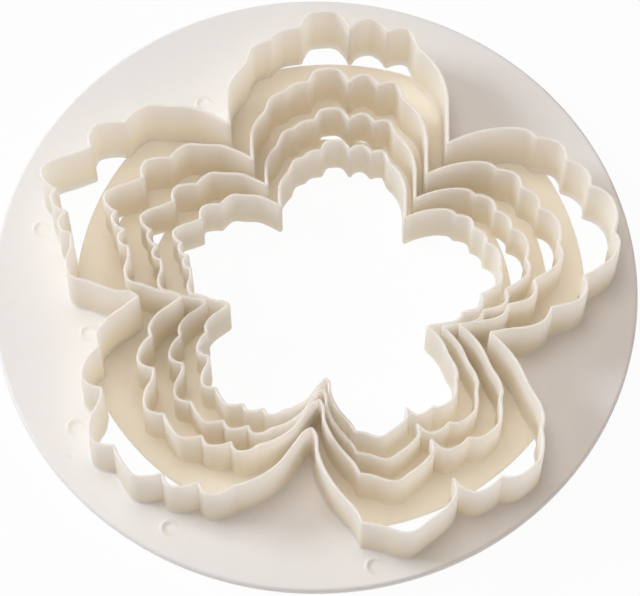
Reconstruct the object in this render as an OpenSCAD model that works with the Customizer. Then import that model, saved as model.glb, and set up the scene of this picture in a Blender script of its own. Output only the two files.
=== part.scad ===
// A nest of four peony cutters for sugar paste and pastry, stacked flange on flange.
// Millimetres. The nest stands on the smallest flange, with the cutting edges up.
// X runs to the right and Y away from the front. The origin is under the middle of the largest flange.

/* [Flowers] */
// Width of the largest flower, across its cutting line
largest_flower_w = 106; // [105.5:0.5:125]
// How much narrower the second flower is than the largest
large_step = 21.8; // [19:0.1:24]
// How much narrower the third flower is than the second
medium_step = 12.5; // [12.4:0.1:16]
// How much narrower the smallest flower is than the third
small_step = 11.1; // [10.9:0.1:14]

/* [Walls] */
// Height of the largest cutter, from its underside to its cutting edge
largest_h = 14.2; // [12:0.1:20]
// Height of the second cutter
large_h = 12.5; // [10:0.1:20]
// Height of the third cutter
medium_h = 11; // [8:0.1:20]
// Height of the smallest cutter
small_h = 11; // [8:0.1:20]
// Thickness of the wall that stands on the flange
wall_t = 0.7; // [0.6:0.05:0.8]
// Thickness of the cutting edge along the top of the wall
edge_t = 0.45; // [0.3:0.05:0.55]
// Height of the thin cutting edge
edge_h = 3; // [1:0.5:5]

/* [Flanges] */
// Thickness of the largest flange
largest_flange_t = 1.5; // [1:0.1:3]
// Thickness of the three smaller flanges
flange_t = 0.9; // [0.6:0.1:2]
// Flange beyond half the flower's width on the largest cutter
largest_margin = 7; // [6:0.25:15]
// The same on the second cutter
large_margin = 5.35; // [4:0.05:8]
// The same on the third cutter
medium_margin = 5.8; // [4:0.05:8]
// The same on the smallest cutter
small_margin = 4; // [3:0.25:8]
// Radius that rounds the upper corner of each rim
rim_r = 0.6; // [0.2:0.1:0.6]

/* [Nest] */
// How far the second cutter lies to the right and back of the largest
large_shift = [1.2, -0.5]; // [-2:0.1:2]
// How far the third cutter lies to the right and back of the largest
medium_shift = [1.9, -1.7]; // [-3:0.1:3]
// How far the smallest cutter lies to the right and back of the largest
small_shift = [2.6, -2.7]; // [-4:0.1:4]
// How far the second cutter is turned in the largest, anticlockwise in degrees
large_turn = 0.1; // [-1:0.1:1]
// How far the third cutter is turned in the largest
medium_turn = -0.1; // [-1:0.1:1]
// How far the smallest cutter is turned in the largest
small_turn = -0.4; // [-1:0.1:1]
// How far the second flange is off the middle of its own flower
large_flange_shift = [1.7, -0.1]; // [-2:0.1:2]

/* [Smoothness] */
// Straight pieces between two points of the outline
curve_steps = 3; // [2:1:4]

/* [Hidden] */

$fn = 128;
rim_steps = 5;
cutter_colour = "ivory";

// The petals, each a chain of scallops from notch to notch, seen from above.
// A scallop is a smooth curve through its points, and two scallops meet in a corner.
// They run anticlockwise, on the largest cutter.
top_petal = [
    [[24.5, 22.75], [24.5, 28], [24.5, 32.5], [22.75, 38.5], [20.5, 41.5]],
    [[20.5, 41.5], [19.25, 43], [18.5, 45], [17.5, 46.75], [15.5, 47], [13.5, 46.25]],
    [[13.5, 46.25], [12.25, 48], [10.5, 49], [8.5, 48.75], [7.25, 48], [6.5, 46.75]],
    [[6.5, 46.75], [5.5, 48.75], [4, 50.25], [0.5, 50.5], [-1.5, 50], [-2.5, 48.5], [-3, 47]],
    [[-3, 47], [-5, 46.75], [-6.75, 46.25], [-8, 45.25], [-8.75, 44.25]],
    [[-8.75, 44.25], [-10.5, 43.75], [-12, 42.75], [-12.75, 41], [-13.25, 39.25]],
    [[-13.25, 39.25], [-14.25, 38], [-15.5, 36.25], [-16.25, 34.5], [-16.5, 31], [-16, 26.5]]
];
left_petal = [
    [[-16, 26.5], [-20, 28.75], [-23, 30], [-27.5, 30.25], [-32, 30.25], [-34, 28.75], [-35.5, 26.75]],
    [[-35.5, 26.75], [-39, 26.75], [-41.25, 26], [-42, 24.5], [-41.5, 21.75]],
    [[-41.5, 21.75], [-45, 20.25], [-48.75, 18.75], [-50.5, 17.25], [-50, 15], [-47.5, 13]],
    [[-47.5, 13], [-48.5, 12], [-48, 10], [-45.5, 8.5]],
    [[-45.5, 8.5], [-47, 6.5], [-46.5, 5], [-44.75, 4.25]],
    [
        [-44.75, 4.25], [-44.5, 1.5], [-45.25, -2], [-44.5, -4.25],
        [-41, -5.5], [-36.5, -7.25], [-33, -7.75], [-32, -8.5]
    ]
];
lower_left_petal = [
    [[-32, -8.5], [-34.5, -10.5], [-37.75, -13.25], [-39.25, -16], [-38.75, -18.25]],
    [[-38.75, -18.25], [-41, -21], [-41.5, -24.5], [-38, -26.25]],
    [[-38, -26.25], [-38.25, -28.75], [-39.75, -32], [-39.5, -36], [-35.5, -37.25]],
    [[-35.5, -37.25], [-33.5, -41], [-32, -42.75], [-29, -43], [-26.75, -42.5]],
    [[-26.75, -42.5], [-25.5, -44.75], [-23.5, -45], [-20.25, -44]],
    [[-20.25, -44], [-19.25, -46], [-17, -46.25], [-14.25, -44.75]],
    [[-14.25, -44.75], [-10.5, -43.5], [-6.75, -41], [-3.25, -36.5], [-1.75, -34.5], [-0.5, -33.75]]
];
lower_right_petal = [
    [[-0.5, -33.75], [0.25, -35], [0.5, -38], [2.25, -42.5], [5.5, -47], [7.25, -49], [8.5, -51.5]],
    [
        [8.5, -51.5], [12.5, -52.25], [14.5, -53], [17, -53.25],
        [20, -51.25], [23.75, -48], [25, -46], [24.5, -43]
    ],
    [[24.5, -43], [26, -44.75], [28.5, -45.75], [31, -44.75], [33, -42.75]],
    [[33, -42.75], [36, -42.75], [38.5, -41], [40, -39.25], [40.5, -37], [40.25, -33.5]],
    [[40.25, -33.5], [40.75, -31.5], [40.25, -29.25], [38.5, -26], [36, -20.5], [31.5, -15.25]]
];
right_petal = [
    [[31.5, -15.25], [35.5, -14.5], [39, -14], [41.5, -12.75], [42.75, -10.25]],
    [[42.75, -10.25], [45, -9.75], [47.75, -8.75], [49.25, -6.5], [48.75, -4]],
    [[48.75, -4], [51.5, -2.5], [54.75, 0.5], [55.5, 3], [54.5, 5]],
    [[54.5, 5], [55.25, 9], [53.75, 12.5], [50.5, 14.25]],
    [[50.5, 14.25], [50.5, 16.5], [48.75, 18.5], [46.5, 19.5]],
    [[46.5, 19.5], [46.25, 21.5], [45.25, 23], [43.5, 23.75], [41, 24]],
    [[41, 24], [39.5, 25.5], [37, 26], [33, 25.75], [29, 24.75], [24.5, 22.75]]
];
scallops = concat(top_petal, left_petal, lower_left_petal, lower_right_petal, right_petal);

// Slope of the curve at point i of a scallop, for each millimetre along it.
// At an end it is the slope of a parabola through the first two points.
function chord(p, i) = norm(p[i + 1] - p[i]);
function run(p, i) = (p[i + 1] - p[i]) / chord(p, i);
function inner_slope(p, i) =
    (run(p, i - 1) * chord(p, i) + run(p, i) * chord(p, i - 1)) / (chord(p, i - 1) + chord(p, i));
function slope(p, i) =
    i == 0 ? 2 * run(p, 0) - inner_slope(p, 1)
    : i == len(p) - 1 ? 2 * run(p, i - 1) - inner_slope(p, i - 1)
    : inner_slope(p, i);

// Point at the share k of the way from point i to the next, on a cubic with those slopes
function between(p, i, k) =
    (1 - 3 * k * k + 2 * k * k * k) * p[i]
    + (3 * k * k - 2 * k * k * k) * p[i + 1]
    + chord(p, i) * k * (1 - k) * ((1 - k) * slope(p, i) - k * slope(p, i + 1));

// The whole cutting line of the largest cutter, closed and without repeated points
cutting_line = [
    for (scallop = scallops)
    for (i = [0 : len(scallop) - 2])
    for (s = [0 : curve_steps - 1])
    between(scallop, i, s / curve_steps)
];
drawn_w = max([for (p = cutting_line) p.x]) - min([for (p = cutting_line) p.x]);

// A closed line moved sideways by d, outwards where d is positive.
// Corners are mitred, but a sharp one is cut flat on its outside, so that the smaller walls pass it.
// A point that comes nearer to the line than d is left out.
function at(line, i) = line[(i + len(line)) % len(line)];
function outward(line, i) =
    let (along = (at(line, i + 1) - at(line, i)) / norm(at(line, i + 1) - at(line, i)))
    [along.y, -along.x];
function sharp(before, after) = before * after < cos(sharp_turn);
function moved(line, i, d) =
    let (before = outward(line, i - 1), after = outward(line, i))
    sharp(before, after) && d * cross(before, after) > 0
    ? [line[i] + d * before, line[i] + d * after]
    : [line[i] + d * (before + after) / (1 + before * after)];
function away(q, a, b) =
    let (k = max(0, min(1, (q - a) * (b - a) / ((b - a) * (b - a)))))
    norm(q - a - k * (b - a));
sharp_turn = 60;
near_count = 6;
near_share = 0.99;
function moved_line(line, d) = [
    for (i = [0 : len(line) - 1])
    for (q = moved(line, i, d))
    if (min([for (j = [-near_count : near_count]) away(q, at(line, i + j), at(line, i + j + 1))])
        > near_share * abs(d)) q
];

// One row for each cutter, from the largest to the smallest
flower_w = [
    largest_flower_w,
    largest_flower_w - large_step,
    largest_flower_w - large_step - medium_step,
    largest_flower_w - large_step - medium_step - small_step
];
margin = [largest_margin, large_margin, medium_margin, small_margin];
thickness = [largest_flange_t, flange_t, flange_t, flange_t];
height = [largest_h, large_h, medium_h, small_h];
turn = [0, large_turn, medium_turn, small_turn];
place = [[0, 0], large_shift, medium_shift, small_shift];
flange_offset = [[0, 0], large_flange_shift, [0, 0], [0, 0]];
last = len(flower_w) - 1;
function level(c) = (last - c) * flange_t;
function flange_r(c) = flower_w[c] / 2 + margin[c];
function line_of(c) = cutting_line * flower_w[c] / drawn_w;

module flange(c) {
    corner = min(rim_r, thickness[c]);
    rim = [
        for (s = [0 : rim_steps])
        let (a = 90 * s / rim_steps)
        [flange_r(c) - corner + corner * cos(a), thickness[c] - corner + corner * sin(a)]
    ];
    color(cutter_colour)
    translate([place[c].x, place[c].y, level(c)])
    rotate([0, 0, turn[c]])
    difference() {
        translate(flange_offset[c])
        rotate_extrude()
        polygon(concat([[0, 0], [flange_r(c), 0]], rim, [[0, thickness[c]]]));
        translate([0, 0, -1])
        linear_extrude(thickness[c] + 2)
        polygon(moved_line(line_of(c), -wall_t / 2));
    }
}

module ring(c, t, low, high) {
    translate([0, 0, low])
    linear_extrude(high - low)
    difference() {
        polygon(moved_line(line_of(c), t / 2));
        polygon(moved_line(line_of(c), -t / 2));
    }
}

module wall(c) {
    color(cutter_colour)
    translate([place[c].x, place[c].y, level(c)])
    rotate([0, 0, turn[c]])
    union() {
        ring(c, wall_t, thickness[c], height[c] - edge_h);
        ring(c, edge_t, height[c] - edge_h, height[c]);
    }
}

module largest_flange() flange(0);
module largest_wall() wall(0);
module large_flange() flange(1);
module large_wall() wall(1);
module medium_flange() flange(2);
module medium_wall() wall(2);
module small_flange() flange(3);
module small_wall() wall(3);

largest_flange();
largest_wall();
large_flange();
large_wall();
medium_flange();
medium_wall();
small_flange();
small_wall();
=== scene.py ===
"""A nest of four peony cutters in ivory ABS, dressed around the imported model.

Every cutter is one moulding: a round flange, and a ruffled wall on it that rises to a thin
cutting edge. The sizes here are in millimetres and the meshes in metres, in the frame of
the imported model: X to the right, Y to the back, Z up, and zero where the nest stands.
"""

import logging
import math
from dataclasses import dataclass
from enum import Enum
from typing import Any, Iterable, Sequence

import bmesh
import bpy
import numpy as np
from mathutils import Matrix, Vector, geometry


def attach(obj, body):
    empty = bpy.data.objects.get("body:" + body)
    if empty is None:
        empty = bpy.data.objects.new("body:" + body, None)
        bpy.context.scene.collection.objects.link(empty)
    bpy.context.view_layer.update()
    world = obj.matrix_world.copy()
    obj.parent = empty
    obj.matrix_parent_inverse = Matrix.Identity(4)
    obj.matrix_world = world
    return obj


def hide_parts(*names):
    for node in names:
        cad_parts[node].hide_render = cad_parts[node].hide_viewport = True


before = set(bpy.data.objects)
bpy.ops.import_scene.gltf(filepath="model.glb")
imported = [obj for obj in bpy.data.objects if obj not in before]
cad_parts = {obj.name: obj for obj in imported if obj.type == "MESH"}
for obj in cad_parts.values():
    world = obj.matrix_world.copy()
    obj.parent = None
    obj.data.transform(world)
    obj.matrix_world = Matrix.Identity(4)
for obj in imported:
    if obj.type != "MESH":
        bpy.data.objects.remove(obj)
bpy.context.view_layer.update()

LOG = logging.getLogger("nest")
MM = 0.001

# The kind of filling asked of the triangulation, and how near two of its points may come.
TRIANGLES_WITHIN = 1
TOUCHING = 1e-6
# Points nearer than this are one point, in millimetres.
MERGE = 0.002
# How far the visible rim stays inside the modelled one, in millimetres.
INSIDE = 0.02

# The petals of the largest cutter, each a chain of scallops from notch to notch. They run
# anticlockwise as seen from above, and two scallops meet in a corner.
TOP_PETAL = (
    ((24.5, 22.75), (24.5, 28), (24.5, 32.5), (22.75, 38.5), (20.5, 41.5)),
    ((20.5, 41.5), (19.25, 43), (18.5, 45), (17.5, 46.75), (15.5, 47), (13.5, 46.25)),
    ((13.5, 46.25), (12.25, 48), (10.5, 49), (8.5, 48.75), (7.25, 48), (6.5, 46.75)),
    ((6.5, 46.75), (5.5, 48.75), (4, 50.25), (0.5, 50.5), (-1.5, 50), (-2.5, 48.5), (-3, 47)),
    ((-3, 47), (-5, 46.75), (-6.75, 46.25), (-8, 45.25), (-8.75, 44.25)),
    ((-8.75, 44.25), (-10.5, 43.75), (-12, 42.75), (-12.75, 41), (-13.25, 39.25)),
    ((-13.25, 39.25), (-14.25, 38), (-15.5, 36.25), (-16.25, 34.5), (-16.5, 31), (-16, 26.5)),
)
LEFT_PETAL = (
    ((-16, 26.5), (-20, 28.75), (-23, 30), (-27.5, 30.25), (-32, 30.25), (-34, 28.75),
     (-35.5, 26.75)),
    ((-35.5, 26.75), (-39, 26.75), (-41.25, 26), (-42, 24.5), (-41.5, 21.75)),
    ((-41.5, 21.75), (-45, 20.25), (-48.75, 18.75), (-50.5, 17.25), (-50, 15), (-47.5, 13)),
    ((-47.5, 13), (-48.5, 12), (-48, 10), (-45.5, 8.5)),
    ((-45.5, 8.5), (-47, 6.5), (-46.5, 5), (-44.75, 4.25)),
    ((-44.75, 4.25), (-44.5, 1.5), (-45.25, -2), (-44.5, -4.25), (-41, -5.5), (-36.5, -7.25),
     (-33, -7.75), (-32, -8.5)),
)
LOWER_LEFT_PETAL = (
    ((-32, -8.5), (-34.5, -10.5), (-37.75, -13.25), (-39.25, -16), (-38.75, -18.25)),
    ((-38.75, -18.25), (-41, -21), (-41.5, -24.5), (-38, -26.25)),
    ((-38, -26.25), (-38.25, -28.75), (-39.75, -32), (-39.5, -36), (-35.5, -37.25)),
    ((-35.5, -37.25), (-33.5, -41), (-32, -42.75), (-29, -43), (-26.75, -42.5)),
    ((-26.75, -42.5), (-25.5, -44.75), (-23.5, -45), (-20.25, -44)),
    ((-20.25, -44), (-19.25, -46), (-17, -46.25), (-14.25, -44.75)),
    ((-14.25, -44.75), (-10.5, -43.5), (-6.75, -41), (-3.25, -36.5), (-1.75, -34.5),
     (-0.5, -33.75)),
)
LOWER_RIGHT_PETAL = (
    ((-0.5, -33.75), (0.25, -35), (0.5, -38), (2.25, -42.5), (5.5, -47), (7.25, -49), (8.5, -51.5)),
    ((8.5, -51.5), (12.5, -52.25), (14.5, -53), (17, -53.25), (20, -51.25), (23.75, -48), (25, -46),
     (24.5, -43)),
    ((24.5, -43), (26, -44.75), (28.5, -45.75), (31, -44.75), (33, -42.75)),
    ((33, -42.75), (36, -42.75), (38.5, -41), (40, -39.25), (40.5, -37), (40.25, -33.5)),
    ((40.25, -33.5), (40.75, -31.5), (40.25, -29.25), (38.5, -26), (36, -20.5), (31.5, -15.25)),
)
RIGHT_PETAL = (
    ((31.5, -15.25), (35.5, -14.5), (39, -14), (41.5, -12.75), (42.75, -10.25)),
    ((42.75, -10.25), (45, -9.75), (47.75, -8.75), (49.25, -6.5), (48.75, -4)),
    ((48.75, -4), (51.5, -2.5), (54.75, 0.5), (55.5, 3), (54.5, 5)),
    ((54.5, 5), (55.25, 9), (53.75, 12.5), (50.5, 14.25)),
    ((50.5, 14.25), (50.5, 16.5), (48.75, 18.5), (46.5, 19.5)),
    ((46.5, 19.5), (46.25, 21.5), (45.25, 23), (43.5, 23.75), (41, 24)),
    ((41, 24), (39.5, 25.5), (37, 26), (33, 25.75), (29, 24.75), (24.5, 22.75)),
)
SCALLOPS = TOP_PETAL + LEFT_PETAL + LOWER_LEFT_PETAL + LOWER_RIGHT_PETAL + RIGHT_PETAL


def linear(hex_colour: str) -> tuple[float, float, float, float]:
    """Turns an sRGB hex colour to linear light.

    Args:
        hex_colour: six hex digits, red first.

    Returns:
        Red, green, blue and an alpha of 1.
    """
    levels = [int(hex_colour[i:i + 2], 16) / 255 for i in (0, 2, 4)]
    red, green, blue = [v / 12.92 if v <= 0.04045 else ((v + 0.055) / 1.055) ** 2.4 for v in levels]
    return red, green, blue, 1.0


def add_node(
    tree: bpy.types.NodeTree,
    kind: str,
    inputs: dict[Any, Any] | None = None,
    **settings: Any,
) -> bpy.types.Node:
    """Adds a shader node with its settings, its plain values and its links.

    Args:
        tree: the node tree that gets the node.
        kind: the node's type name without the word ShaderNode.
        inputs: for each input, by name or number, a value or the output that feeds it.
        **settings: the node's own properties.

    Returns:
        The new node.
    """
    node = tree.nodes.new("ShaderNode" + kind)
    for name, value in settings.items():
        setattr(node, name, value)
    for key, value in (inputs or {}).items():
        if isinstance(value, bpy.types.NodeSocket):
            tree.links.new(value, node.inputs[key])
        else:
            node.inputs[key].default_value = value
    return node


def ramp_of(
    tree: bpy.types.NodeTree, value: bpy.types.NodeSocket, stops: dict[float, float]
) -> bpy.types.NodeSocket:
    """Adds a ramp that runs straight from stop to stop.

    Args:
        tree: the node tree that gets the ramp.
        value: what is read against the stops, from 0 to 1.
        stops: the ramp's level at each of its places, the first of which is 0.

    Returns:
        The level.
    """
    node = add_node(tree, "ValToRGB", {0: value})
    elements = node.color_ramp.elements
    elements.remove(elements[1])
    for place, level in stops.items():
        stop = elements.new(place) if place else elements[0]
        stop.color = (level, level, level, 1.0)
    return node.outputs[0]


def new_material(name: str) -> tuple[bpy.types.Material, bpy.types.NodeTree]:
    """Makes an empty node material.

    Args:
        name: what the material is.

    Returns:
        The material and its cleared node tree.
    """
    material = bpy.data.materials.new(name)
    material.use_nodes = True
    material.node_tree.nodes.clear()
    return material, material.node_tree


class Facing(Enum):
    """The way that a level face looks."""

    UP = True
    DOWN = False


@dataclass(frozen=True)
class CuttingLine:
    """The closed line of a cutting edge as seen from above, in millimetres.

    Attributes:
        width: width of the flower across its line.
        step: distance between two points of the finished line.
        corner: how far a corner is softened, as the spread of a bell curve.
        fine: points drawn between two of the given ones.
        dense: points of the line while its corners are softened.
        reach: how many points a small loop at a corner may have.
        parallel: below this, the cross product of two pieces means that they don't cross.
    """

    width: float
    step: float = 0.27
    corner: float = 0.12
    fine: int = 24
    dense: int = 6000
    reach: int = 30
    parallel: float = 1e-12

    def scallop(self, points: Sequence[Sequence[float]]) -> np.ndarray:
        """Draws one scallop as a smooth curve through its points.

        Each piece is a cubic whose slopes at its ends are the mean of the neighbouring
        chords, weighted by the other chord's length; the first and last slope are those
        of a parabola.

        Args:
            points: the scallop's points.

        Returns:
            Points along the curve, without its last.
        """
        p = np.array(points, float)
        chord = np.linalg.norm(np.diff(p, axis=0), axis=1)[:, None]
        run = np.diff(p, axis=0) / chord
        slope = np.empty_like(p)
        slope[1:-1] = (run[:-1] * chord[1:] + run[1:] * chord[:-1]) / (chord[1:] + chord[:-1])
        slope[0] = 2 * run[0] - slope[1]
        slope[-1] = 2 * run[-1] - slope[-2]
        k = (np.arange(self.fine) / self.fine)[None, :, None]
        curve = (
            (1 - 3 * k**2 + 2 * k**3) * p[:-1, None]
            + (3 * k**2 - 2 * k**3) * p[1:, None]
            + chord[:, None] * k * (1 - k) * ((1 - k) * slope[:-1, None] - k * slope[1:, None])
        )
        return curve.reshape(-1, 2)

    @staticmethod
    def evenly(line: np.ndarray, count: int) -> np.ndarray:
        """Places points at equal distances along a closed line.

        Args:
            line: the closed line's points.
            count: how many points to place.

        Returns:
            The points, each a linear share of the piece that it falls on.
        """
        closed = np.vstack([line, line[:1]])
        along = np.r_[0, np.cumsum(np.linalg.norm(np.diff(closed, axis=0), axis=1))]
        at = np.arange(count) / count * along[-1]
        return np.column_stack([np.interp(at, along, closed[:, axis]) for axis in (0, 1)])

    @staticmethod
    def length(line: np.ndarray) -> float:
        """Gives the length of a closed line."""
        return float(np.linalg.norm(line - np.roll(line, 1, axis=0), axis=1).sum())

    def points(self) -> np.ndarray:
        """Draws the whole line and softens its corners.

        The line is scaled to its width and sampled evenly. Each coordinate is then
        blurred round the loop with a bell curve of the corner's spread, which rounds a
        corner and leaves a long curve as it is.

        Returns:
            Points at equal steps, anticlockwise.
        """
        drawn = np.vstack([self.scallop(s) for s in SCALLOPS])
        drawn = drawn * self.width / np.ptp(drawn[:, 0])
        line = self.evenly(drawn, self.dense)
        per_mm = np.fft.rfftfreq(self.dense, d=self.length(line) / self.dense)
        bell = np.exp(-2 * (math.pi * per_mm * self.corner) ** 2)[:, None]
        soft = np.fft.irfft(np.fft.rfft(line, axis=0) * bell, self.dense, axis=0)
        return self.evenly(soft, round(self.length(soft) / self.step))

    @staticmethod
    def outward(line: np.ndarray) -> np.ndarray:
        """Gives the unit normals of an anticlockwise line.

        Each is the chord between the two neighbouring points, turned clockwise.

        Args:
            line: the closed line's points.

        Returns:
            A normal for each point, which points out of the flower.
        """
        along = np.roll(line, -1, axis=0) - np.roll(line, 1, axis=0)
        along /= np.linalg.norm(along, axis=1)[:, None]
        return np.column_stack([along[:, 1], -along[:, 0]])

    def uncrossed(self, line: np.ndarray) -> np.ndarray:
        """Pulls each small loop that a moved line makes at a corner into one point.

        Two pieces p + s u and q + t v cross where s = (q - p) x v / (u x v) and
        t = (q - p) x u / (u x v) both lie between 0 and 1.

        Args:
            line: the closed line's points.

        Returns:
            As many points, those of a loop all moved to where it crosses itself.
        """
        p = line.copy()
        for ahead in range(self.reach, 1, -1):
            u = np.roll(p, -1, axis=0) - p
            v = np.roll(u, -ahead, axis=0)
            gap = np.roll(p, -ahead, axis=0) - p
            turn = np.cross(u, v)
            turn[abs(turn) < self.parallel] = np.inf
            s, t = np.cross(gap, v) / turn, np.cross(gap, u) / turn
            for i in np.flatnonzero((s > 0) & (s < 1) & (t > 0) & (t < 1)):
                p[(i + 1 + np.arange(ahead)) % len(p)] = p[i] + s[i] * u[i]
        return p


class Shell:
    """A closed surface that is gathered from grids and flat faces, in millimetres."""

    def __init__(self) -> None:
        """Starts without a face."""
        self.points: list[np.ndarray] = []
        self.quads: list[np.ndarray] = []
        self.triangles: list[np.ndarray] = []
        self.count = 0

    def grid(self, rows: np.ndarray) -> None:
        """Adds a band of quads between rows that are each a closed loop.

        The rows run so that a step to the next row, crossed with a step along the row,
        points out of the solid.

        Args:
            rows: points as an array of rows, points in a row, and three coordinates.
        """
        high, wide = rows.shape[:2]
        i, j = np.meshgrid(np.arange(high - 1), np.arange(wide), indexing="ij")
        k = (j + 1) % wide
        quad = np.stack([i * wide + j, (i + 1) * wide + j, (i + 1) * wide + k, i * wide + k], -1)
        self.points.append(rows.reshape(-1, 3))
        self.quads.append(quad.reshape(-1, 4) + self.count)
        self.count += high * wide

    def cap(self, loop: np.ndarray) -> None:
        """Closes a round loop with triangles to its middle, where the next row would be.

        Args:
            loop: the loop's points, in the order of the grid that ends in it.
        """
        wide = len(loop)
        self.points.append(np.vstack([loop, loop.mean(axis=0)]))
        j = np.arange(wide)
        self.triangles.append(np.stack([j, np.full(wide, wide), (j + 1) % wide], -1) + self.count)
        self.count += wide + 1

    @staticmethod
    def within(points: np.ndarray, loop: np.ndarray) -> np.ndarray:
        """Says which points lie inside a closed loop.

        A line to the right of a point inside crosses the loop an odd number of times.

        Args:
            points: the points to test.
            loop: the closed loop.

        Returns:
            True for each point inside.
        """
        (x, y), (x0, y0) = points.T[:, :, None], loop.T[:, None]
        x1, y1 = np.roll(loop, -1, axis=0).T[:, None]
        spans = (y0 > y) != (y1 > y)
        rise = np.where(y1 == y0, 1.0, y1 - y0)
        crossed = spans & (x < x0 + (y - y0) * (x1 - x0) / rise)
        return crossed.sum(axis=1) % 2 == 1

    def flat(self, loops: Sequence[np.ndarray], z: float, facing: Facing) -> None:
        """Fills the level face between an outer loop and the loops inside it.

        Args:
            loops: the closed loops seen from above, the outer one first.
            z: height of the face.
            facing: the way that the face looks.
        """
        edges, start = [], 0
        for loop in loops:
            j = np.arange(len(loop))
            edges.append(np.column_stack([j, (j + 1) % len(loop)]) + start)
            start += len(loop)
        seen = np.vstack(loops)
        found = geometry.delaunay_2d_cdt(
            [Vector(p) for p in seen.tolist()], np.vstack(edges).tolist(), [],
            TRIANGLES_WITHIN, TOUCHING,
        )
        flat = np.array([tuple(p) for p in found[0]])
        face = np.array(found[2])
        middle = flat[face].mean(axis=1)
        held = self.within(middle, loops[0])
        for loop in loops[1:]:
            held &= ~self.within(middle, loop)
        face = face[held]
        a, b, c = (flat[face[:, n]] for n in range(3))
        anticlockwise = np.cross(b - a, c - a) > 0
        turn = anticlockwise != facing.value
        face[turn] = face[turn][:, ::-1]
        self.points.append(np.column_stack([flat, np.full(len(flat), z)]))
        self.triangles.append(face + self.count)
        self.count += len(flat)

    def build(self, name: str) -> bpy.types.Object:
        """Makes the object, with its doubles merged and its faces shaded smoothly.

        Args:
            name: the object's name.

        Returns:
            The object, at the origin.
        """
        mesh = bpy.data.meshes.new(name)
        faces = np.vstack(self.quads).tolist() + np.vstack(self.triangles).tolist()
        mesh.from_pydata((np.vstack(self.points) * MM).tolist(), [], faces)
        work = bmesh.new()
        work.from_mesh(mesh)
        bmesh.ops.remove_doubles(work, verts=work.verts, dist=MERGE * MM)
        bmesh.ops.dissolve_degenerate(work, edges=work.edges, dist=MERGE * MM)
        work.to_mesh(mesh)
        work.free()
        mesh.polygons.foreach_set("use_smooth", np.ones(len(mesh.polygons), bool))
        piece = bpy.data.objects.new(name, mesh)
        bpy.context.scene.collection.objects.link(piece)
        return piece


@dataclass(frozen=True)
class PinMark:
    """The round mark that an ejector pin leaves in a flange.

    The pin stands a little proud in the mould, so it leaves a shallow dish. It also leans
    a little, and the plastic that creeps round it leaves a low ridge that is highest on
    one side and fades out on the other.

    Attributes:
        x: place to the right of the middle.
        y: place behind the middle.
        radius: radius of the ridge.
        ridge: greatest height of the ridge.
        dish: depth of the dish.
        high_side: direction of the highest place of the ridge, in degrees from the right.
        foot: half the width of the ridge.
        tight: width of the level strip round the mark, which keeps the shading even.
        segments: points round the mark.
        ridge_rows: rows up the outer side of the ridge.
        dish_rows: rows from the ridge to the floor.
    """

    x: float
    y: float
    radius: float = 1.4
    ridge: float = 0.36
    dish: float = 0.03
    high_side: float = 145.0
    foot: float = 0.34
    tight: float = 0.03
    segments: int = 40
    ridge_rows: int = 4
    dish_rows: int = 6

    def rows(self, z: float) -> np.ndarray:
        """Carries the ridge and the dish round the pin.

        The ridge's height is the greatest height times the squared cosine of half the
        angle from its high side, times the squared cosine across it. Inside it the
        surface falls in a half cosine to the dish's level floor.

        Args:
            z: height of the flange's face.

        Returns:
            Rows from the outside to the floor of the dish.
        """
        turn = -2 * math.pi * np.arange(self.segments) / self.segments
        ridge = self.ridge * np.cos((turn - math.radians(self.high_side)) / 2) ** 2
        rise = np.linspace(self.foot, 0, self.ridge_rows, endpoint=False)
        out = np.r_[self.foot + self.tight, rise]
        fall = np.linspace(0, 3 * self.foot, self.dish_rows)
        outside = np.cos(math.pi / 2 * np.minimum(out / self.foot, 1)) ** 2
        inside = (1 - np.cos(math.pi * fall / fall[-1])) / 2
        radii = np.r_[self.radius + out, self.radius - fall]
        height = z + np.vstack([
            outside[:, None] * ridge,
            ridge - inside[:, None] * (ridge + self.dish),
        ])
        across, back = (radii[:, None] * wave(turn) for wave in (np.cos, np.sin))
        return np.stack([self.x + across, self.y + back, height], axis=-1)


@dataclass(frozen=True)
class Place:
    """Where a cutter lies in the nest.

    Attributes:
        x: shift to the right.
        y: shift to the back.
        turn: turn anticlockwise, in degrees.
        level: height of the underside above the worktop.
    """

    x: float = 0.0
    y: float = 0.0
    turn: float = 0.0
    level: float = 0.0

    def put(self, points: np.ndarray) -> np.ndarray:
        """Turns points about the flower's middle and moves them to the cutter's place.

        Args:
            points: points of the cutter as it would lie in the middle of the worktop.

        Returns:
            The points in the nest.
        """
        a = math.radians(self.turn)
        spin = np.array([[math.cos(a), math.sin(a), 0], [-math.sin(a), math.cos(a), 0], [0, 0, 1]])
        return points @ spin + np.array([self.x, self.y, self.level])


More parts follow.
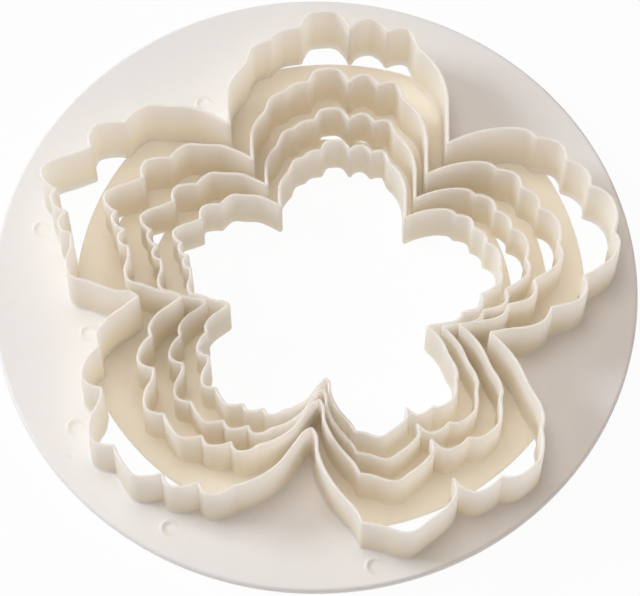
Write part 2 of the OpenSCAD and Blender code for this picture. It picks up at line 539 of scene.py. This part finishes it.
@dataclass
class Cutter:
    """One moulded cutter: a round flange, and a wall on it that ends in the cutting edge.

    Attributes:
        name: the cutter's size by name.
        width: width of the flower across its cutting line.
        height: height from the underside to the cutting edge.
        flange: thickness of the flange.
        margin: flange beyond half the flower's width.
        place: where the cutter lies in the nest.
        off_x: how far the flange is right of the flower's middle.
        off_y: how far the flange is behind the flower's middle.
        fillet: radius of the hollow where the wall meets the flange.
        rim: radius of the rim's upper corner.
        marks: ejector pin marks on the flange.
        painted_flange_glow: share of the wall's painted glow colour on the flange, which stands
        in for light coming through the flange as it does through the wall; 0 leaves the thick
        flange pale.
        foot: half the wall's thickness where it meets the flange.
        edge: half the thickness of the cutting edge, which is rounded over.
        lower: radius of the lower edges.
        tight: width of the level strip beside a curve, which keeps the shading even.
        air: gap between the underside and what the cutter lies on.
        rim_segments: points round the flange.
        arc_points: points along a quarter circle of the wall's section.
        lean_points: points along each leaning face of the wall, with its ends.
        crown_points: points along the rounded cutting edge.
        rim_points: points along a quarter circle of the rim's section.
    """

    name: str
    width: float
    height: float
    flange: float
    margin: float
    place: Place
    off_x: float = 0.0
    off_y: float = 0.0
    fillet: float = 0.2
    rim: float = 0.35
    marks: tuple[PinMark, ...] = ()
    # Painted glow on the flange, standing in for light that comes through it.
    painted_flange_glow: float = 0.55
    foot: float = 0.36
    edge: float = 0.28
    lower: float = 0.06
    tight: float = 0.03
    air: float = 0.015
    rim_segments: int = 256
    arc_points: int = 5
    lean_points: int = 7
    crown_points: int = 9
    rim_points: int = 6

    @property
    def body(self) -> str:
        """Names the body that the cutter moves with."""
        return self.name + "_cutter"

    @property
    def radius(self) -> float:
        """Gives the radius of the flange."""
        return self.width / 2 + self.margin - INSIDE

    def circle(self, radius: float, z: float) -> np.ndarray:
        """Draws a level circle about the flange's middle, as radius times cosine and sine.

        Args:
            radius: the circle's radius.
            z: its height.

        Returns:
            Points at equal steps, anticlockwise.
        """
        turn = 2 * math.pi * np.arange(self.rim_segments) / self.rim_segments
        return np.column_stack([
            self.off_x + radius * np.cos(turn),
            self.off_y + radius * np.sin(turn),
            np.full(self.rim_segments, z),
        ])

    def wall_profile(self) -> np.ndarray:
        """Draws the section across the wall, from the hole's lower edge to the flange.

        The lower edge of the hole is a quarter circle. Both faces lean in evenly from the
        foot, as the draft of the mould asks. The top is a half circle as thick as the
        cutting edge, and the outer foot is a hollow quarter circle onto the flange.

        Returns:
            Rows of the distance out from the line and the height.
        """
        quarter = np.linspace(0, math.pi / 2, self.arc_points)
        hole = np.column_stack([
            -self.foot + self.lower * (1 - np.cos(quarter)), self.lower * (1 - np.sin(quarter))
        ])[::-1]
        lean = np.linspace(0, 1, self.lean_points)[1:-1]
        top = self.height - self.edge
        inner = np.column_stack([
            -self.foot + (self.foot - self.edge) * lean, self.lower + (top - self.lower) * lean
        ])
        half = np.linspace(math.pi, 0, self.crown_points)
        crown = np.column_stack([self.edge * np.cos(half), top + self.edge * np.sin(half)])
        low = self.flange + self.fillet
        outer = np.column_stack([
            self.edge + (self.foot - self.edge) * lean, top + (low - top) * lean
        ])
        hollow = np.column_stack([
            self.foot + self.fillet * (1 - np.cos(quarter)), low - self.fillet * np.sin(quarter)
        ])
        support = [[hollow[-1, 0] + self.tight, self.flange]]
        under = [[hole[0, 0] + self.tight, 0.0]]
        section = np.vstack([under, hole, inner, crown, outer, hollow, support])
        section[:, 1] = np.maximum(section[:, 1], self.air)
        return section

    def wall_rows(self) -> np.ndarray:
        """Carries the wall's section along the cutting line.

        Every point of a row is the line's point plus its outward normal times the
        section's distance. Where a row crosses itself at a corner it is cut back to the
        crossing, which leaves a mitred crease.

        Returns:
            Rows of points from the hole's lower edge over the cutting edge to the flange.
        """
        cutting_line = CuttingLine(self.width)
        line = cutting_line.points()
        normal = cutting_line.outward(line)
        return np.stack([
            np.column_stack([cutting_line.uncrossed(line + out * normal), np.full(len(line), z)])
            for out, z in self.wall_profile()
        ])

    def rim_rows(self) -> np.ndarray:
        """Carries the rim's section round the flange.

        The upper corner is a quarter circle of the rim's radius, and the lower corner a
        smaller one.

        Returns:
            Rows of points from the flange's upper face to its underside.
        """
        quarter = np.linspace(0, math.pi / 2, self.rim_points)
        corner = self.radius - self.rim
        upper = np.column_stack([
            corner + self.rim * np.sin(quarter), self.flange - self.rim * (1 - np.cos(quarter))
        ])
        lower = np.column_stack([
            self.radius - self.lower * (1 - np.cos(quarter)), self.lower * (1 - np.sin(quarter))
        ])
        section = np.vstack([
            [[corner - self.tight, self.flange]], upper, lower,
            [[self.radius - self.lower - self.tight, 0.0]],
        ])
        section[:, 1] = np.maximum(section[:, 1], self.air)
        return np.stack([self.circle(r, z) for r, z in section])

    def build(self) -> bpy.types.Object:
        """Joins the wall, the rim, the marks and the two level faces in one shell.

        Returns:
            The piece, which rides on the cutter's body in place of its two nodes.
        """
        shell = Shell()
        wall, rim = self.put_down(self.wall_rows()), self.put_down(self.rim_rows())
        dishes = [self.put_down(mark.rows(self.flange)) for mark in self.marks]
        for rows in (wall, rim):
            shell.grid(rows)
        for dish in dishes:
            shell.grid(dish)
            shell.cap(dish[-1])
        z = self.place.level
        over = [rim[0], wall[-1]] + [dish[0] for dish in dishes]
        shell.flat([loop[:, :2] for loop in over], z + self.flange, Facing.UP)
        shell.flat([loop[:, :2] for loop in (rim[-1], wall[0])], z + self.air, Facing.DOWN)
        piece = shell.build(self.name + "_cutter_moulding")
        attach(piece, self.body)
        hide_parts(self.name + "_flange", self.name + "_wall")
        return piece

    def put_down(self, rows: np.ndarray) -> np.ndarray:
        """Moves rows of points to the cutter's place in the nest."""
        return self.place.put(rows.reshape(-1, 3)).reshape(rows.shape)


@dataclass(frozen=True)
class MouldedAbs:
    """Injection moulded ABS, ivory through and through, from a fine spark-eroded mould.

    It is an even satin. Light goes a millimetre or so into it and in part through the thin
    walls, which fills the hollows between them with a warmer light. The thick flange of the
    largest cutter lets hardly any light through and looks paler. The base colour paints that
    light in as well: a painted glow, warmer low on the walls and on the thin flanges, and
    pale near the cutting edge.

    Attributes:
        pale: colour of the thick flange and of the walls near the cutting edge.
        painted_glow_colour: painted glow low on the walls and on the thin flanges, which stands
        in for the light that passes through the plastic and gathers between the walls.
        through: colour of the light that comes out on the other side of a wall.
        let_through: share of the light on a wall that goes through it near the cutting edge.
        foot_through: the same at the wall's thicker foot and on the thin flanges.
        foot_ends: where the foot ends, as a share of the wall's height.
        thick_through: the same on the thick flange.
        roughness: how matt the satin is.
        spread: how far light scatters inside the plastic, in millimetres.
        spread_by_colour: the same for red, green and blue, as shares of it.
        scattered: share of the light that scatters inside.
        ior: how strongly the surface bends light.
        painted_glow_peak: how far up a wall the painted glow is strongest, as a share of the
        wall's height.
        painted_glow_end: how far up a wall the painted glow has faded to pale.
        uneven: how much the warmth varies over the cutter, from flow and cooling.
        uneven_size: size of the patches in which it varies, in millimetres.
        grain_size: two grains of the mould's spark-eroded skin, in millimetres.
        grain_gloss: how much the roughness varies from grain to grain.
        grain_depth: depth of the grain, in millimetres.
        grain_strength: how strongly the grain shows, as a share of that.
        wave_size: size of the sink marks and of the flange's dishing, in millimetres.
        wave_depth: depth of these waves, in millimetres.
        wave_strength: how strongly they show, as a share of that.
    """

    pale: str = "FBF9F6"
    # Painted glow: a warmer colour that stands in for the light that gathers low between the walls.
    painted_glow_colour: str = "F8F0E0"
    through: str = "FFFBF5"
    let_through: float = 0.46
    foot_through: float = 0.32
    foot_ends: float = 0.1
    thick_through: float = 0.05
    roughness: float = 0.42
    spread: float = 1.0
    spread_by_colour: tuple[float, float, float] = (1.0, 0.9, 0.75)
    scattered: float = 0.5
    ior: float = 1.53
    # Where the painted glow is strongest and where it has faded, up the wall.
    painted_glow_peak: float = 0.12
    painted_glow_end: float = 0.75
    uneven: float = 0.12
    uneven_size: float = 20.0
    grain_size: float = 0.6
    grain_gloss: float = 0.05
    grain_depth: float = 0.004
    grain_strength: float = 0.5
    wave_size: float = 12.0
    wave_depth: float = 0.25
    wave_strength: float = 0.6

    def material(self, cutter: Cutter) -> bpy.types.Material:
        """Makes the plastic of one cutter.

        Args:
            cutter: the cutter, whose own height sets where the painted glow makes the plastic
                warmer.

        Returns:
            The material.
        """
        material, tree = new_material(f"moulded_ivory_abs_{cutter.name}")
        place = add_node(tree, "TexCoord").outputs["Object"]
        height = add_node(tree, "SeparateXYZ", {0: place}).outputs["Z"]
        rise = add_node(tree, "MapRange", {
            "Value": height,
            "From Min": (cutter.place.level + cutter.flange) * MM,
            "From Max": (cutter.place.level + cutter.height) * MM,
        }).outputs[0]
        skin, rough = self.skin(tree, place)
        # The base colour carries the painted glow low on the walls and on the thin flanges.
        plastic = add_node(tree, "BsdfPrincipled", {
            "Base Color": self.colour(tree, place, rise, cutter.painted_flange_glow),
            "Roughness": rough, "Normal": skin, "IOR": self.ior,
            "Subsurface Weight": self.scattered,
            "Subsurface Radius": self.spread_by_colour, "Subsurface Scale": self.spread * MM,
        })
        # The thick flange is the one without painted glow on it.
        thick = cutter.painted_flange_glow == 0
        share = ramp_of(tree, rise, {
            0.0: self.thick_through if thick else self.foot_through,
            self.foot_ends: self.foot_through,
            1.0: self.let_through,
        })
        glow = add_node(tree, "BsdfTranslucent", {"Color": linear(self.through), "Normal": skin})
        both = add_node(tree, "MixShader", {
            0: share, 1: plastic.outputs[0], 2: glow.outputs[0],
        })
        add_node(tree, "OutputMaterial", {"Surface": both.outputs[0]})
        return material

    def colour(
        self,
        tree: bpy.types.NodeTree,
        place: bpy.types.NodeSocket,
        rise: bpy.types.NodeSocket,
        painted_glow_on_flange: float,
    ) -> bpy.types.NodeSocket:
        """Mixes the colour of the plastic from its pale own colour and a painted glow, which stands
        in for the light that gathers low between the walls.

        Args:
            tree: the material's nodes.
            place: the place on the cutter.
            rise: 0 on the flange and 1 at the cutting edge.
            painted_glow_on_flange: share of the painted glow on the flange.

        Returns:
            The colour.
        """
        # Painted glow: strongest a little above the flange, faded to pale towards the cutting edge.
        painted_glow_share = ramp_of(tree, rise, {0.0: painted_glow_on_flange, self.painted_glow_peak: 1.0, self.painted_glow_end: 0.0})
        flow = add_node(tree, "TexNoise", {
            "Vector": place, "Scale": 1 / (self.uneven_size * MM), "Detail": 2.0,
        }).outputs[0]
        uneven = add_node(tree, "Math", {
            0: flow, 1: self.uneven, 2: painted_glow_share,
        }, operation="MULTIPLY_ADD").outputs[0]
        return add_node(tree, "Mix", {
            "Factor": uneven, 6: linear(self.pale), 7: linear(self.painted_glow_colour),
        }, data_type="RGBA").outputs[2]

    def skin(
        self, tree: bpy.types.NodeTree, place: bpy.types.NodeSocket
    ) -> tuple[bpy.types.NodeSocket, bpy.types.NodeSocket]:
        """Makes the fine grain and the slight waves of the moulded skin.

        Args:
            tree: the material's nodes.
            place: the place on the cutter.

        Returns:
            The normal and the roughness.
        """
        grain = add_node(tree, "TexNoise", {
            "Vector": place, "Scale": 1 / (self.grain_size * MM), "Detail": 2.0,
        }).outputs[0]
        rough = add_node(tree, "MapRange", {
            "Value": grain,
            "To Min": self.roughness - self.grain_gloss,
            "To Max": self.roughness + self.grain_gloss,
        }).outputs[0]
        waves = add_node(tree, "TexNoise", {
            "Vector": place, "Scale": 1 / (self.wave_size * MM), "Detail": 1.0,
        }).outputs[0]
        broad = add_node(tree, "Bump", {
            "Height": waves, "Distance": self.wave_depth * MM, "Strength": self.wave_strength,
        }).outputs[0]
        fine = add_node(tree, "Bump", {
            "Height": grain, "Distance": self.grain_depth * MM, "Strength": self.grain_strength,
            "Normal": broad,
        }).outputs[0]
        return fine, rough


@dataclass(frozen=True)
class Lamp:
    """A square soft box.

    Attributes:
        name: what it does.
        place: where it stands, in millimetres.
        size: length of its side, in millimetres.
        watts: its power.
        colour: sRGB hex of its light.
    """

    name: str
    place: tuple[float, float, float]
    size: float
    watts: float
    colour: str = "FFFFFF"

    def hang(self) -> None:
        """Hangs the lamp and aims it at the middle of the nest."""
        light = bpy.data.lights.new(self.name, "AREA")
        light.shape, light.size = "SQUARE", self.size * MM
        light.energy, light.color = self.watts, linear(self.colour)[:3]
        holder = bpy.data.objects.new(self.name, light)
        bpy.context.scene.collection.objects.link(holder)
        place = Vector(self.place) * MM
        holder.location = place
        holder.rotation_euler = (-place).to_track_quat("-Z", "Y").to_euler()


@dataclass(frozen=True)
class Studio:
    """The white table, the lamps and the camera.

    Attributes:
        sky: strength of the even light from all round.
        sky_colour: sRGB hex of that light.
        table: side of the table top, in millimetres.
        laminate: sRGB hex of the table.
        shade: share of the table's own shading that the camera sees on its white.
        glow: share of plain white that the table gives back to the plastic.
        lamps: a window at the left, and a weaker soft box above.
        camera_place: where the camera stands, in millimetres, fitted to the photograph.
        camera_turn: how it is turned about X, Y and Z, in degrees.
        lens: its focal length, in millimetres.
        sensor: width of its sensor, in millimetres.
        near_and_far: the least and greatest distance that it sees, in metres.
        bounces: how often light is followed from wall to wall.
    """

    sky: float = 0.26
    sky_colour: str = "FFECE4"
    table: float = 3000.0
    laminate: str = "F2F2F0"
    shade: float = 0.05
    glow: float = 0.5
    lamps: tuple[Lamp, ...] = (
        Lamp("window_left", (-1300.0, 342.0, 890.0), 560.0, 14.5, "E8F4FF"),
        Lamp("soft_box_above", (-150.0, 100.0, 1100.0), 500.0, 3.2, "FFF8F2"),
    )
    camera_place: tuple[float, float, float] = (0.0, -217.6, 494.2)
    camera_turn: tuple[float, float, float] = (23.6403, -0.1882, 0.1832)
    lens: float = 162.27
    sensor: float = 36.0
    near_and_far: tuple[float, float] = (0.01, 10.0)
    bounces: int = 12

    @staticmethod
    def seen_white(tree: bpy.types.NodeTree) -> bpy.types.NodeSocket:
        """Tells the rays that see a plain white: camera, glossy and transmission.

        Args:
            tree: the node tree that asks.

        Returns:
            1 for such a ray and 0 for any other.
        """
        path = add_node(tree, "LightPath")
        either = add_node(tree, "Math", {
            0: path.outputs["Is Camera Ray"], 1: path.outputs["Is Glossy Ray"],
        }, operation="MAXIMUM").outputs[0]
        return add_node(tree, "Math", {
            0: either, 1: path.outputs["Is Transmission Ray"],
        }, operation="MAXIMUM").outputs[0]

    def lay_table(self) -> None:
        """Lays the table: white to the eye, with a trace of the nest's shadow."""
        half = self.table / 2 * MM
        mesh = bpy.data.meshes.new("table")
        mesh.from_pydata(
            [(-half, -half, 0), (half, -half, 0), (half, half, 0), (-half, half, 0)], [],
            [(0, 1, 2, 3)],
        )
        table = bpy.data.objects.new("table", mesh)
        bpy.context.scene.collection.objects.link(table)
        material, tree = new_material("white_laminate")
        shaded = add_node(tree, "BsdfDiffuse", {"Color": linear(self.laminate)}).outputs[0]
        white = add_node(tree, "Emission", {"Color": (1, 1, 1, 1), "Strength": 1.0}).outputs[0]
        share = add_node(tree, "MapRange", {
            "Value": self.seen_white(tree), "To Min": self.glow, "To Max": 1 - self.shade,
        }).outputs[0]
        mixed = add_node(tree, "MixShader", {0: share, 1: shaded, 2: white}).outputs[0]
        add_node(tree, "OutputMaterial", {"Surface": mixed})
        mesh.materials.append(material)

    def light(self) -> None:
        """Sets the even light from all round and hangs the lamps."""
        world = bpy.data.worlds.new("studio")
        bpy.context.scene.world = world
        world.use_nodes = True
        tree = world.node_tree
        tree.nodes.clear()
        seen = self.seen_white(tree)
        strength = add_node(tree, "MapRange", {
            "Value": seen, "To Min": self.sky, "To Max": 1.0,
        }).outputs["Result"]
        tint = add_node(tree, "Mix", {
            "Factor": seen, 6: linear(self.sky_colour), 7: (1, 1, 1, 1),
        }, data_type="RGBA").outputs[2]
        sky = add_node(tree, "Background", {"Color": tint, "Strength": strength})
        add_node(tree, "OutputWorld", {"Surface": sky.outputs[0]})
        for lamp in self.lamps:
            lamp.hang()

    def set_camera(self) -> None:
        """Places the camera as the photograph was taken."""
        camera = bpy.data.cameras.new("camera")
        camera.lens, camera.sensor_width = self.lens, self.sensor
        camera.sensor_fit = "HORIZONTAL"
        camera.clip_start, camera.clip_end = self.near_and_far
        holder = bpy.data.objects.new("camera", camera)
        holder.location = Vector(self.camera_place) * MM
        holder.rotation_euler = [math.radians(a) for a in self.camera_turn]
        bpy.context.scene.collection.objects.link(holder)
        bpy.context.scene.camera = holder
        bpy.context.scene.view_settings.view_transform = "Standard"
        bpy.context.scene.cycles.diffuse_bounces = self.bounces


PIN_MARKS = (
    PinMark(-21.5, 37.2),
    PinMark(-51.4, 10.7),
    PinMark(-41.8, -10.4),
    PinMark(-43.5, -28.9),
    PinMark(-26.0, -48.2),
    PinMark(10.7, -55.2),
    # Two pins stood almost level with the mould and left only a faint dish.
    PinMark(-49.8, 2.9, radius=1.0, ridge=0.0, dish=0.12, foot=0.3),
    PinMark(-44.1, -34.2, radius=1.0, ridge=0.0, dish=0.12, foot=0.3),
)
NEST = (
    # The largest cutter's thick flange has no painted glow; the others keep the default share.
    Cutter("largest", 106.0, 14.2, 1.5, 7.0, Place(0.0, 0.0, 0.0, 2.7),
           fillet=0.45, rim=0.6, foot=0.42, marks=PIN_MARKS, painted_flange_glow=0.0),
    Cutter("large", 84.2, 12.5, 0.9, 5.35, Place(1.2, -0.5, 0.1, 1.8), off_x=1.7, off_y=-0.1),
    Cutter("medium", 71.7, 11.0, 0.9, 5.8, Place(1.9, -1.7, -0.1, 0.9)),
    Cutter("small", 60.6, 11.0, 0.9, 4.0, Place(2.6, -2.7, -0.4, 0.0)),
)


def report(pieces: Iterable[bpy.types.Object]) -> None:
    """Logs each piece with its number of faces."""
    for piece in pieces:
        LOG.info("%s: %d faces", piece.name, len(piece.data.polygons))


def main() -> None:
    """Builds the nest and the studio."""
    logging.basicConfig(level=logging.INFO, format="%(name)s: %(message)s")
    plastic = MouldedAbs()
    pieces = []
    for cutter in NEST:
        piece = cutter.build()
        piece.data.materials.append(plastic.material(cutter))
        pieces.append(piece)
    report(pieces)
    studio = Studio()
    studio.lay_table()
    studio.light()
    studio.set_camera()


if __name__ == "__main__":
    main()
